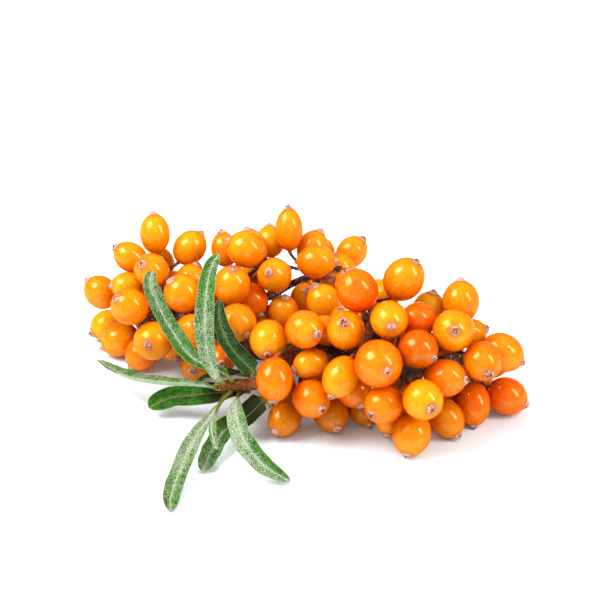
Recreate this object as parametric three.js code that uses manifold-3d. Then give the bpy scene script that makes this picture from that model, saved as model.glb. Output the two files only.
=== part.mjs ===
// A sea buckthorn sprig, as picked and lying down: a forked twig thick with berries, and one leafy shoot.
// Millimetres, +Z up. The origin is on the surface below the middle of the sprig's bounding box.
//
// The sprig is laid out on a side drawing. Its places are counted in squares, across from the left and down
// from the top, as the sprig is seen from one eye point. A second value says how high or how deep they lie.
import * as THREE from 'three';
import { mergeVertices } from 'three/addons/utils/BufferGeometryUtils.js';
import Module from 'manifold-3d';

const wasm = await Module();
wasm.setup();

// The drawing and its eye point.
const EYE_DISTANCE = 600;
const EYE_ELEVATION = THREE.MathUtils.degToRad(30);
const AIM = new THREE.Vector3(0, 0, 16);
const DRAWING_CENTRE = 300;
const SQUARES_PER_MM = 4.75;

// Fits and clearances.
const JOINT_GAP = 0.3;
const BERRY_GAP = 0.12;
const BERRY_TO_TWIG_GAP = 0.5;
const BERRY_TO_LEAF_GAP = 0.3;

// Twigs and leaves stand in the way of the berries as chains of balls.
const CHAIN_STEP = 2;
const LEAF_CHAIN_SAMPLES = 20;
const SPUR_CHAIN_SAMPLES = 40;
const STRETCH_SAMPLES = 60;

// Settling: the rounds, and the share of a sideways push that a berry gives way to, early and late.
const SETTLE_ROUNDS = 500;
const EARLY_GIVE = 0.15;
const LATE_GIVE = 0.4;

// Facets.
const BERRY_SIDES = 7;
const TWIG_SIDES = 8;
const MAIN_STEM_STEPS = 24;
const BACK_BRANCH_STEPS = 14;
const SIDE_TWIG_STEPS = 6;
const SHORT_TWIG_STEPS = 5;
const SHOOT_STEPS = 8;
const LEAF_SIDES = 8;
const LEAF_STEPS = 10;
const PEDICEL_STEPS = 4;
const SPUR_SIDES = 5;
const SMALLEST_EDGE = 0.05;

// A berry's outline as [radius, height] shares of its half width and half length, stalk end first.
const BERRY_OUTLINE = [[0, -1], [0.62, -0.86], [0.97, -0.3], [0.95, 0.3], [0.62, 0.75], [0, 1]];

// Stalks and the spurs that they stand on.
const PEDICEL_RADIUS = 0.4;
const PEDICEL_SINK = 0.7;
const MAX_STALK = 15;
const STALK_CLEARANCE = 0.15;
const BEHIND_COST = 0.3;
const ASIDE_COST = 0.5;
const CRAMPED_COST = 40;
const CROWDED_COST = 0.15;
const STALK_SAMPLES = 16;
const SPUR_SPACING = 3.3;
const SPUR_TURN = THREE.MathUtils.degToRad(137.5);
const SPUR_RADIUS = 0.85;
const SPUR_OUTLINE = [[0, -0.15], [SPUR_RADIUS, 0], [0.65, 1.1], [0, 1.4]];
const SPUR_TIP = 1;
const SPUR_CLEARANCE = 1.4;

// The bud that ends the leafy shoot, as [radius, height].
const BUD_OUTLINE = [[0, 0], [0.7, 0.3], [0.6, 1.1], [0, 1.8]];

// Leaves.
const LEAF_HALF_THICKNESS = 0.26;
const LEAF_STALK_RADIUS = 0.42;
const LEAF_FOLD = 0.28;
const LEAF_OBSTACLE_SHARE = 0.7;
const LEAF_LEAN = 0.9;
const LEAF_FULLNESS = 0.55;

// The berries that fill the side turned away: their sizes, how far their middles stand from the twig, and the
// places that are tried along and round it.
const FILL_BERRIES = [
  { wide: 8.0, long: 8.8 },
  { wide: 7.2, long: 8.1 },
  { wide: 6.4, long: 7.4 },
];
const FILL_REACHES = [8.6, 9.8, 11.4];
const FILL_STEP = 2.5;
const FILL_TURNS = 16;
const FILL_COVER = 0.5;
const COVER_SAMPLES = 16;
const FILL_SQUEEZE = 0.8;

const BARK = { color: 0x6b5a4a, roughness: 0.85, metalness: 0 };
const RED_BARK = { color: 0x7a4a33, roughness: 0.7, metalness: 0 };
const SHOOT = { color: 0x8a6a3a, roughness: 0.6, metalness: 0 };
const BUD = { color: 0xc87a3a, roughness: 0.6, metalness: 0 };
const LEAF = { color: 0x3f8a35, roughness: 0.6, metalness: 0 };
const BERRY = { color: 0xf58a10, roughness: 0.25, metalness: 0 };

// ---------------------------------------------------------------- the drawing

const SIGHT = new THREE.Vector3(0, Math.cos(EYE_ELEVATION), -Math.sin(EYE_ELEVATION));
const DRAWING_RIGHT = new THREE.Vector3(1, 0, 0);
const DRAWING_UP = new THREE.Vector3(0, Math.sin(EYE_ELEVATION), Math.cos(EYE_ELEVATION));
const EYE = AIM.clone().addScaledVector(SIGHT, -EYE_DISTANCE);

// The line of sight through a square, as a step that reaches the drawing's plane in one go.
function sightLine(across, down) {
  return SIGHT.clone().multiplyScalar(EYE_DISTANCE)
    .addScaledVector(DRAWING_RIGHT, (across - DRAWING_CENTRE) / SQUARES_PER_MM)
    .addScaledVector(DRAWING_UP, (DRAWING_CENTRE - down) / SQUARES_PER_MM);
}

// The point seen at a square, at a height over the surface.
function atHeight(across, down, height) {
  const line = sightLine(across, down);
  return EYE.clone().addScaledVector(line, (height - EYE.z) / line.z);
}

// The point seen at a square, at a depth behind the drawing's plane.
function atDepth(across, down, depth) {
  return EYE.clone().addScaledVector(sightLine(across, down), 1 + depth / EYE_DISTANCE);
}

// Where a point is seen on the drawing's plane, in millimetres, and its depth behind that plane.
function seen(point) {
  const ray = point.clone().sub(EYE);
  const reach = ray.dot(SIGHT);
  return {
    right: ray.dot(DRAWING_RIGHT) * EYE_DISTANCE / reach,
    up: ray.dot(DRAWING_UP) * EYE_DISTANCE / reach,
    depth: reach - EYE_DISTANCE,
  };
}

// A direction given as seen on the drawing: right, up and towards the eye.
function seenDirection(right, up, near) {
  return new THREE.Vector3()
    .addScaledVector(DRAWING_RIGHT, right)
    .addScaledVector(DRAWING_UP, up)
    .addScaledVector(SIGHT, -near)
    .normalize();
}

// ---------------------------------------------------------------- solids

function toSolid(geometry) {
  const bare = geometry.clone();
  bare.deleteAttribute('normal');
  bare.deleteAttribute('uv');
  const merged = mergeVertices(bare, 1e-4);
  const mesh = new wasm.Mesh({
    numProp: 3,
    vertProperties: new Float32Array(merged.attributes.position.array),
    triVerts: new Uint32Array(merged.index.array),
  });
  return new wasm.Manifold(mesh);
}

function toGeometry(solid) {
  const mesh = solid.getMesh();
  const geometry = new THREE.BufferGeometry();
  geometry.setAttribute('position', new THREE.BufferAttribute(mesh.vertProperties, 3));
  geometry.setIndex(new THREE.BufferAttribute(mesh.triVerts, 1));
  geometry.computeVertexNormals();
  return geometry;
}

// A bar swept along a curve. The section gives the rim's place at a share of the length and an angle, as
// [sideways, outwards], where outwards is the way that the bar faces.
function sweep(curve, facing, sides, steps, section) {
  const geometry = new THREE.CylinderGeometry(1, 1, 1, sides, steps);
  const position = geometry.attributes.position;
  const vertex = new THREE.Vector3();
  for (let i = 0; i < position.count; i += 1) {
    vertex.fromBufferAttribute(position, i);
    const share = THREE.MathUtils.clamp(0.5 - vertex.y, 0, 1);
    const rim = Math.hypot(vertex.x, vertex.z);
    const [sideways, outwards] = section(share, Math.atan2(vertex.z, vertex.x));
    const along = curve.getTangentAt(share);
    const side = new THREE.Vector3().crossVectors(facing, along).normalize();
    const out = new THREE.Vector3().crossVectors(along, side);
    vertex.copy(curve.getPointAt(share))
      .addScaledVector(side, sideways * rim)
      .addScaledVector(out, outwards * rim);
    position.setXYZ(i, vertex.x, vertex.y, vertex.z);
  }
  return geometry;
}

// A shape turned on the Y axis, stood at a place and pointed along a direction.
function turned(outline, sides, place, direction, radius, halfLength) {
  const profile = outline.map(([r, h]) => new THREE.Vector2(r * radius, h * halfLength));
  const geometry = new THREE.LatheGeometry(profile, sides);
  const turn = new THREE.Quaternion().setFromUnitVectors(new THREE.Vector3(0, 1, 0), direction);
  return geometry.applyQuaternion(turn).translate(place.x, place.y, place.z);
}

// ---------------------------------------------------------------- twigs

// A twig's route is a list of [across, down, height over the surface], from its thick end.
function twig(route, thick, thin, steps) {
  const points = route.map(([across, down, height]) => atHeight(across, down, height));
  const curve = new THREE.CatmullRomCurve3(points, false, 'centripetal');
  const radius = (share) => THREE.MathUtils.lerp(thick, thin, share) / 2;
  const facing = SIGHT.clone().negate();
  const section = (share, angle) => [radius(share) * Math.cos(angle), radius(share) * Math.sin(angle)];
  const geometry = sweep(curve, facing, TWIG_SIDES, steps, section);
  return { curve, radius, steps, length: curve.getLength(), geometry };
}

const mainStem = twig([
  [125, 312, 10.5],
  [150, 316, 11],
  [178, 313, 11.5],
  [205, 325, 12],
  [240, 341, 13],
  [293, 350, 13.5],
  [345, 352, 14],
  [412, 372, 14],
  [455, 358, 14],
  [488, 374, 12],
], 3.6, 2.2, MAIN_STEM_STEPS);

const backBranch = twig([
  [201, 323, 12],
  [221, 309, 13],
  [245, 301, 13.5],
  [270, 295, 14],
  [292, 283, 15.5],
  [322, 271, 17],
  [343, 267, 17.5],
], 2.8, 1.8, BACK_BRANCH_STEPS);

const sideTwig = twig([
  [364, 354, 14],
  [371, 330, 19],
  [373, 312, 22.5],
  [367, 294, 25],
], 2.8, 1.8, SIDE_TWIG_STEPS);

const leftSideTwig = twig([
  [169, 313, 11.5],
  [167, 290, 16],
  [163, 258, 21],
], 2.6, 1.6, SHORT_TWIG_STEPS);

const backSideTwig = twig([
  [243, 302, 13.5],
  [235, 287, 16],
  [231, 268, 19.5],
], 2.2, 1.4, SHORT_TWIG_STEPS);

const leafyShoot = twig([
  [297, 352, 13.5],
  [280, 372, 12.5],
  [256, 383, 11],
  [235, 384, 10],
  [221, 386, 9.5],
], 2.8, 2.2, SHOOT_STEPS);

// A twig that grows out of another is cut where it meets it, with a gap all round.
function grownFrom(child, parent) {
  const facing = SIGHT.clone().negate();
  const section = (share, angle) => {
    const radius = parent.radius(share) + JOINT_GAP;
    return [radius * Math.cos(angle), radius * Math.sin(angle)];
  };
  const cutter = toSolid(sweep(parent.curve, facing, TWIG_SIDES, parent.steps, section));
  const pieces = toSolid(child.geometry).subtract(cutter).decompose();
  const largest = pieces.reduce((best, piece) => (piece.volume() > best.volume() ? piece : best));
  return toGeometry(largest);
}

// ---------------------------------------------------------------- leaves

// The blade's half width, as a share of its widest, from the stalk to the tip.
function bladeShape(share) {
  return Math.sin(Math.PI * share ** LEAF_LEAN) ** LEAF_FULLNESS;
}

// A leaf's route is a list of [across, down, height], from the shoot. It faces the way given on the drawing.
function leaf(name, wide, stalkShare, facing, route) {
  const points = route.map(([across, down, height]) => atHeight(across, down, height));
  const curve = new THREE.CatmullRomCurve3(points, false, 'centripetal');
  const halfWidth = (share) => {
    if (share <= stalkShare) {
      return LEAF_STALK_RADIUS;
    }
    const blade = (share - stalkShare) / (1 - stalkShare);
    return Math.max(LEAF_STALK_RADIUS, wide / 2 * bladeShape(blade));
  };
  const section = (share, angle) => {
    const half = halfWidth(share);
    const stalk = half <= LEAF_STALK_RADIUS;
    const thickness = stalk ? LEAF_STALK_RADIUS : LEAF_HALF_THICKNESS;
    const fold = stalk ? 0 : LEAF_FOLD * half * Math.abs(Math.cos(angle));
    return [half * Math.cos(angle), fold + thickness * Math.sin(angle)];
  };
  const geometry = sweep(curve, seenDirection(...facing), LEAF_SIDES, LEAF_STEPS, section);
  return { name, curve, halfWidth, geometry };
}

const leaves = [
  leaf('leaf_left_tall', 3.9, 0.08, [0.3, 0.3, 1], [
    [234, 381, 12.6],
    [219, 370, 14],
    [192, 357, 15.5],
    [177, 338, 17.5],
    [166, 320, 20],
    [157, 302, 23],
    [150, 285, 26],
    [152, 270, 28],
  ]),
  leaf('leaf_middle_tall', 4.1, 0.05, [-0.2, 0, 1], [
    [225, 384, 12.4],
    [214, 372, 14.5],
    [209, 357, 17.5],
    [206, 340, 21],
    [205, 320, 24.5],
    [206, 300, 28],
    [208, 280, 31],
    [213, 262, 34],
    [219, 253, 35.5],
  ]),
  leaf('leaf_shaded', 3.8, 0.06, [0.3, 0.2, 1], [
    [256, 374, 13],
    [241, 358, 15.5],
    [231, 346, 18],
    [223, 330, 20.5],
    [219, 315, 23],
    [220, 299, 25.5],
  ]),
  leaf('leaf_left_level', 3.8, 0.06, [0, 1, 0.2], [
    [218, 387, 10],
    [200, 384, 9.8],
    [175, 383, 9],
    [150, 381, 8.2],
    [130, 377, 7.2],
    [110, 368, 6.2],
    [97, 359, 5.6],
  ]),
  leaf('leaf_left_low', 4.3, 0.05, [0, 0.3, 1], [
    [250, 391, 8.4],
    [235, 391, 7.8],
    [210, 393, 6.6],
    [190, 395, 5.2],
    [172, 397, 4],
    [160, 401, 3.2],
    [149, 407, 2.6],
  ]),
  leaf('leaf_front_long', 3.1, 0.22, [0.3, 0.9, 0.6], [
    [227, 393, 8],
    [216, 408, 8],
    [206, 421, 7.4],
    [195, 437, 6],
    [186, 455, 4.2],
    [178, 475, 2.4],
    [171, 495, 1.1],
    [170, 511, 0.5],
  ]),
  leaf('leaf_small_curled', 1.9, 0.55, [-0.3, 0.6, 0.8], [
    [231, 391.5, 10.4],
    [220, 404, 11],
    [214, 418, 10],
    [212, 428, 8.6],
    [217, 449, 6],
  ]),
  leaf('leaf_front_under', 4, 0.06, [0.2, 0.8, 0.6], [
    [268, 395, 8.6],
    [260, 404, 6.8],
    [245, 418, 4.6],
    [225, 430, 3.4],
    [215, 445, 2.4],
    [208, 458, 1.5],
    [203, 472, 0.6],
  ]),
  leaf('leaf_front_right', 3.9, 0.14, [-0.5, 0.5, 0.9], [
    [240, 391, 8.4],
    [237, 400, 9.8],
    [236, 411, 10.2],
    [243, 438, 8],
    [255, 455, 5.6],
    [268, 468, 3.4],
    [291, 481, 1],
  ]),
  leaf('leaf_behind_shoot', 3.7, 0.06, [0, 1, 0.4], [
    [250, 375, 12],
    [238, 373, 12],
    [218, 374, 11],
    [206, 378, 9.8],
    [195, 382, 9],
  ]),
];

// ---------------------------------------------------------------- berries

// One berry: its middle on the drawing, its width and length, where its tip points as seen on the drawing
// (right, up, near), and how much nearer than its twig it hangs, in millimetres.
function berry(across, down, wide, long, right, up, near, nearer) {
  return { across, down, wide, long, tip: seenDirection(right, up, near), nearer, seenPlace: true };
}

// The berries that lie on the surface are settled until they touch it.
function lowBerry(across, down, wide, long, right, up, near) {
  return { ...berry(across, down, wide, long, right, up, near, 0), low: true };
}

// Stands a berry on its line of sight, at the depth of the stretch of twig seen next to it.
function besideTwig(owner, entry) {
  const target = seen(atDepth(entry.across, entry.down, 0));
  const stretch = owner.curve.getSpacedPoints(STRETCH_SAMPLES).map(seen);
  const away = (point) => Math.hypot(point.right - target.right, point.up - target.up);
  const nearest = stretch.reduce((best, point) => (away(point) < away(best) ? point : best));
  return { ...entry, centre: atDepth(entry.across, entry.down, nearest.depth - entry.nearer) };
}

const backLeftBerries = [
  berry(101, 291, 7.0, 7.8, -0.75, 0.65, 0.1, 1.6),
  berry(130, 304, 8.0, 8.6, -0.63, 0.4, 0.66, 8),
  berry(129, 287, 6.4, 7.2, -0.95, 0.1, 0.2, 4),
  berry(138, 284, 6.4, 7.2, -0.3, 0.7, 0.3, 1),
  lowBerry(106, 326, 6.8, 7.6, -0.85, -0.45, 0.1),
  lowBerry(119, 338, 7.6, 8.4, -0.85, -0.4, 0.1),
  berry(153, 340, 8.4, 8.9, -0.22, -0.2, 0.95, 8),
  lowBerry(143, 351, 7.0, 7.8, -0.55, -0.75, 0.1),
  berry(169, 345, 6.6, 7.2, 0.2, -0.6, 0.3, 0),
  lowBerry(194, 365, 6.4, 7.0, -0.15, -0.35, 0.9),
  berry(192, 331, 7.6, 8.4, 0.3, 0.3, 0.8, 8),
  berry(182.5, 292, 8.3, 8.8, -0.6, 0.6, 0.5, 8),
  berry(222, 358, 6.2, 6.8, 0, -0.3, 0.9, 3),
  berry(238, 322, 8.0, 8.4, 0.55, -0.6, 0.6, 6),
];

const leftSideBerries = [
  berry(155, 233, 6.6, 8.7, -0.05, 1, 0.1, 0),
  berry(131, 257, 6.4, 8.1, -0.8, 0.55, 0.15, 1),
  berry(152, 270, 7.4, 8.2, -0.45, 0.33, 0.83, 8),
  berry(159, 264, 6.4, 7.2, 0.1, 0.9, 0.1, -2),
  berry(190, 247, 7.0, 8.1, 0.6, 0.75, 0.1, -1),
  berry(187, 281, 7.2, 8.0, 0.3, 0.8, 0.1, 0),
];

const backSideBerries = [
  berry(226, 250, 5.8, 7.7, -0.15, 0.98, 0.05, -1),
  berry(248, 249, 8.0, 8.6, -0.9, 0.4, 0.1, 7),
  berry(235, 286, 8.0, 8.9, 0.05, 0.8, 0.6, 8),
  berry(246, 276, 7.0, 7.8, 0.3, 0.85, 0.2, -4),
];

const backBranchBerries = [
  berry(273.5, 273.5, 7.4, 8.2, -0.3, 0.12, 0.94, 9),
  berry(290, 229, 6.0, 9.4, -0.03, 1, 0.1, 0.5),
  berry(271, 240, 6.4, 7.2, -0.1, 0.9, -0.2, -4),
  berry(312, 246, 6.6, 8.1, 0.45, 0.85, 0.05, -1),
  berry(318, 263, 7.2, 8.5, 0.95, 0, 0.1, 5),
  berry(343, 264, 6.2, 7.0, -0.5, 0.8, 0, -3),
  berry(349.5, 254, 6.6, 7.7, 0.5, 0.6, 0.1, -5),
  berry(306, 294.5, 6.8, 7.6, 0.1, 0.4, 0.8, 2.5),
  berry(324, 300, 7.4, 8.0, -0.45, 0.85, 0.3, 8),
  berry(330, 285, 5.8, 6.6, -0.2, 0.5, 0.8, 4.5),
  berry(281, 309, 6.7, 7.4, 0.1, 0.8, 0.5, 5),
  berry(254, 299, 7.0, 7.8, 0.5, -0.9, 0.3, 5),
];

const sideTwigBerries = [
  berry(357.5, 290, 8.6, 9.4, -0.5, 0.8, 0.25, 6),
  berry(392.5, 320.5, 7.8, 8.8, 0.1, -0.33, 0.94, 9),
  berry(405, 278, 8.4, 9.8, 0.5, 0.72, 0.45, 3),
  berry(385, 296, 6.4, 7.2, -0.2, 0.5, -0.3, -5),
  berry(357, 318, 6.0, 6.6, -0.5, 0.3, 0.3, 0),
];

const frontBerries = [
  berry(269.5, 339, 8.0, 8.8, -0.04, -0.68, 0.7, 8),
  berry(306.5, 329, 8.0, 8.6, 0.62, -0.25, 0.75, 8.5),
  berry(345.5, 328.5, 8.1, 8.8, -0.1, 0.38, 0.92, 8),
  berry(275, 379, 7.7, 9.4, -0.05, -0.95, 0.2, 12),
  berry(311, 363.5, 6.2, 7.9, -0.9, -0.35, 0.25, 7),
  berry(341, 377.5, 7.5, 9.2, -0.45, -0.85, 0.25, 9.5),
  berry(313, 397, 7.9, 8.6, 0.5, -0.5, 0.7, 9),
  lowBerry(285, 418, 6.9, 8.0, -0.5, -0.65, 0.55),
  lowBerry(335, 412, 7.5, 8.2, 0.3, -0.75, 0.5),
  berry(354, 390, 7.5, 8.2, 0.4, -0.8, 0.3, 3),
  lowBerry(361, 408, 6.4, 7.2, 0.35, -0.85, 0.2),
  berry(381, 362.5, 9.9, 10.4, 0.33, -0.27, 0.9, 11),
  berry(421, 320, 7.3, 8.0, 0.7, 0.3, -0.5, 3),
  berry(432, 309, 7.0, 7.6, 0.2, 0.8, 0.3, -1),
  berry(417.5, 348, 8.0, 8.6, 0.7, -0.45, 0.5, 7.5),
  berry(460, 302, 7.8, 8.9, -0.02, 0.95, 0.1, 0),
  berry(452, 329.5, 8.8, 9.2, 0, 0, 1, 7),
  berry(472, 332, 6.2, 7.0, 0.9, 0.3, 0.1, -1),
  berry(482, 361, 8.0, 8.8, 0.25, -0.6, 0.75, 7),
  berry(501, 354.5, 8.0, 9.3, 0.85, -0.45, 0.1, 0),
  lowBerry(506, 396, 8.0, 8.8, 0.88, -0.4, 0.1),
  lowBerry(485, 384, 6.2, 7.0, 0.6, -0.6, 0.1),
  lowBerry(476, 403.5, 7.3, 9.2, 0, -1, 0.1),
  berry(447, 376, 7.8, 9.0, 0.9, -0.1, 0.4, 8),
  berry(424.5, 398.5, 8.4, 8.9, 0.37, -0.42, 0.83, 9),
  berry(384.5, 404, 8.0, 8.6, -0.6, -0.45, 0.65, 7),
  lowBerry(410.5, 432, 8.1, 9.2, -0.25, -0.9, 0.3),
  lowBerry(449, 416, 7.3, 9.0, 0.5, -0.8, 0.2),
  berry(392, 420, 5.6, 6.6, -0.05, -1, 0.1, -1),
];

const berries = [
  ...backLeftBerries.map((entry) => besideTwig(mainStem, entry)),
  ...leftSideBerries.map((entry) => besideTwig(leftSideTwig, entry)),
  ...backSideBerries.map((entry) => besideTwig(backSideTwig, entry)),
  ...backBranchBerries.map((entry) => besideTwig(backBranch, entry)),
  ...sideTwigBerries.map((entry) => besideTwig(sideTwig, entry)),
  ...frontBerries.map((entry) => besideTwig(mainStem, entry)),
];

// ---------------------------------------------------------------- settling

// How far a berry reaches from its middle along a direction.
function extent(entry, direction) {
  const share = entry.tip.dot(direction) ** 2;
  return Math.sqrt(share * (entry.long / 2) ** 2 + (1 - share) * (entry.wide / 2) ** 2);
}

// Twigs and leaves stand still while the berries settle round them, as chains of balls.
function chain(curve, radius, gap, samples) {
  const balls = [];
  for (let i = 0; i <= samples; i += 1) {
    balls.push({ centre: curve.getPointAt(i / samples), radius: radius(i / samples) + gap });
  }
  return balls;
}

const twigs = [mainStem, backBranch, sideTwig, leftSideTwig, backSideTwig, leafyShoot];
const obstacles = [
  ...twigs.flatMap((one) => {
    const samples = Math.ceil(one.length / CHAIN_STEP);
    return chain(one.curve, one.radius, BERRY_TO_TWIG_GAP, samples);
  }),
  ...leaves.flatMap((one) => {
    const radius = (share) => LEAF_OBSTACLE_SHARE * one.halfWidth(share);
    return chain(one.curve, radius, BERRY_TO_LEAF_GAP, LEAF_CHAIN_SAMPLES);
  }),
];

// Moves a berry by a push, mostly along the line of sight, so that it stays where the drawing has it.
function push(entry, step, give) {
  const alongSight = step.dot(SIGHT);
  const across = step.clone().addScaledVector(SIGHT, -alongSight);
  entry.centre.addScaledVector(SIGHT, alongSight).addScaledVector(across, give);
}

function settle() {
  for (let round = 0; round < SETTLE_ROUNDS; round += 1) {
    const give = round < SETTLE_ROUNDS / 2 ? EARLY_GIVE : LATE_GIVE;
    for (let i = 0; i < berries.length; i += 1) {
      const one = berries[i];
      for (let j = i + 1; j < berries.length; j += 1) {
        const other = berries[j];
        const between = other.centre.clone().sub(one.centre);
        const distance = between.length();
        between.divideScalar(distance);
        const overlap = extent(one, between) + extent(other, between) + BERRY_GAP - distance;
        if (overlap > 0) {
          push(one, between.clone().multiplyScalar(-overlap / 2), give);
          push(other, between.clone().multiplyScalar(overlap / 2), give);
        }
      }
      for (const ball of obstacles) {
        const away = one.centre.clone().sub(ball.centre);
        const distance = away.length();
        away.divideScalar(distance);
        const overlap = extent(one, away) + ball.radius - distance;
        if (overlap > 0) {
          push(one, away.multiplyScalar(overlap), give);
        }
      }
      const lowest = one.centre.z - extent(one, new THREE.Vector3(0, 0, 1));
      if (lowest < 0 || one.low) {
        one.centre.addScaledVector(SIGHT, lowest / -SIGHT.z);
      }
    }
  }
}

settle();

// ---------------------------------------------------------------- the side turned away

// Chinks between the berries through which the surface shows, as places on the drawing, and a chink's width.
const CHINK = 1.2;
const openChinks = [[272, 291], [286, 257], [293, 258], [298, 276], [299, 309], [378, 303]];

function isFree(entry) {
  const clearOfBerries = berries.every((other) => {
    const between = other.centre.clone().sub(entry.centre);
    const distance = between.length();
    between.divideScalar(distance);
    return distance > extent(entry, between) + extent(other, between) - FILL_SQUEEZE;
  });
  const clearOfRest = obstacles.every((ball) => {
    const away = entry.centre.clone().sub(ball.centre);
    return away.length() > extent(entry, away.clone().normalize()) + ball.radius - FILL_SQUEEZE / 2;
  });
  return clearOfBerries && clearOfRest;
}

// True where a berry stays behind the nearer ones as the drawing shows them, but for the chinks between them.
function isTuckedIn(entry) {
  const middle = seen(entry.centre);
  const inFront = berries
    .map((other) => ({ ...seen(other.centre), radius: other.wide / 2 }))
    .filter((other) => other.depth < middle.depth);
  let covered = 0;
  for (let i = 0; i < COVER_SAMPLES; i += 1) {
    const angle = 2 * Math.PI * i / COVER_SAMPLES;
    const right = middle.right + entry.wide / 2 * Math.cos(angle);
    const up = middle.up + entry.wide / 2 * Math.sin(angle);
    const margins = inFront.map((other) => Math.hypot(other.right - right, other.up - up) - other.radius);
    const margin = Math.min(...margins);
    if (margin > CHINK) {
      return false;
    }
    covered += margin < 0 ? 1 : 0;
  }
  const blocksLight = openChinks.some((chink) => {
    const place = seen(atDepth(...chink, 0));
    return Math.hypot(place.right - middle.right, place.up - middle.up) < entry.wide / 2 + CHINK / 2;
  });
  return covered / COVER_SAMPLES >= FILL_COVER && !blocksLight;
}

// Fills each twig's far side and underside with berries that point away from it, where there is room.
function fill(owner) {
  const stations = Math.floor(owner.length / FILL_STEP);
  for (const size of FILL_BERRIES) {
    for (const reach of FILL_REACHES) {
      for (let i = 0; i <= stations; i += 1) {
        const share = i / stations;
        const along = owner.curve.getTangentAt(share);
        const side = new THREE.Vector3().crossVectors(SIGHT, along).normalize();
        for (let turn = 0; turn < FILL_TURNS; turn += 1) {
          const angle = 2 * Math.PI * turn / FILL_TURNS;
          const tip = SIGHT.clone().multiplyScalar(Math.cos(angle)).addScaledVector(side, Math.sin(angle));
          tip.addScaledVector(along, -tip.dot(along)).normalize();
          const centre = owner.curve.getPointAt(share).addScaledVector(tip, reach);
          const entry = { ...size, tip, centre };
          const lowest = centre.z - extent(entry, new THREE.Vector3(0, 0, 1));
          if (lowest > 0 && isFree(entry) && isTuckedIn(entry)) {
            berries.push(entry);
          }
        }
      }
    }
  }
}

[mainStem, backBranch, leftSideTwig, backSideTwig, sideTwig].forEach(fill);
settle();

// ---------------------------------------------------------------- spurs and stalks

// Spurs stand round a twig in a spiral, each on its bark with a gap.
function spursOn(owner, name, first, last) {
  const count = Math.round(owner.length * (last - first) / SPUR_SPACING);
  const spurs = [];
  for (let i = 0; i < count; i += 1) {
    const share = first + (last - first) * (i + 0.5) / count;
    const along = owner.curve.getTangentAt(share);
    const side = new THREE.Vector3().crossVectors(SIGHT, along).normalize();
    const out = new THREE.Vector3().crossVectors(along, side);
    const angle = i * SPUR_TURN;
    const outwards = side.multiplyScalar(Math.cos(angle)).addScaledVector(out, Math.sin(angle));
    const foot = owner.curve.getPointAt(share)
      .addScaledVector(outwards, owner.radius(share) + JOINT_GAP);
    const tip = foot.clone().addScaledVector(outwards, SPUR_TIP);
    const others = twigs.filter((one) => one !== owner);
    const crowded = others.some((one) => chain(one.curve, one.radius, SPUR_CLEARANCE, SPUR_CHAIN_SAMPLES)
      .some((ball) => tip.distanceTo(ball.centre) < ball.radius));
    if (!crowded) {
      spurs.push({ name, owner, foot, tip, outwards, berries: [] });
    }
  }
  return spurs;
}

const spurs = [
  ...spursOn(mainStem, 'back_left_berries', 0.03, 0.36),
  ...spursOn(mainStem, 'front_berries', 0.38, 0.99),
  ...spursOn(backBranch, 'back_right_berries', 0.2, 0.97),
  ...spursOn(leftSideTwig, 'left_top_berries', 0.3, 0.95),
  ...spursOn(backSideTwig, 'back_top_berries', 0.35, 0.95),
  ...spursOn(sideTwig, 'side_twig_berries', 0.25, 0.95),
];

// A stalk leaves its spur and bends into the berry's axis, by way of a point behind the berry's foot.
function stalkCurve(spur, entry, behind, aside) {
  const end = entry.centre.clone().addScaledVector(entry.tip, PEDICEL_SINK - entry.long / 2);
  const middle = entry.centre.clone().addScaledVector(entry.tip, -entry.long / 2 - behind).add(aside);
  return new THREE.QuadraticBezierCurve3(spur.tip.clone(), middle, end);
}

// How clear a stalk runs of the other berries, of the twigs, and of the other spurs and their stalks.
function clearance(curve, spur, entry) {
  const gaps = [];
  for (const point of curve.getPoints(STALK_SAMPLES).slice(1)) {
    for (const other of berries) {
      const away = point.clone().sub(other.centre);
      if (other !== entry && away.length() < other.long) {
        gaps.push(away.length() - extent(other, away.clone().normalize()) - PEDICEL_RADIUS);
      }
    }
    for (const other of stalks) {
      if (other.spur !== spur) {
        gaps.push(...other.points.map((place) => place.distanceTo(point) - 2 * PEDICEL_RADIUS));
      }
    }
    for (const other of spurs) {
      if (other !== spur) {
        const away = Math.min(point.distanceTo(other.tip), point.distanceTo(other.foot));
        gaps.push(away - SPUR_RADIUS - PEDICEL_RADIUS);
      }
    }
    gaps.push(...obstacles.map((ball) => point.distanceTo(ball.centre) - ball.radius - PEDICEL_RADIUS));
  }
  return Math.min(...gaps);
}

const stalks = [];

// The ways that a stalk may bend: how far behind the berry's foot, and how far aside.
const BENDS = [0.3, 1, 2, 3.5].flatMap((behind) => [
  { behind, aside: new THREE.Vector3() },
  ...[-1.8, 1.8].flatMap((shift) => [
    { behind, aside: new THREE.Vector3(shift, 0, 0) },
    { behind, aside: new THREE.Vector3(0, shift, 0) },
    { behind, aside: new THREE.Vector3(0, 0, shift) },
  ]),
]);

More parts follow.
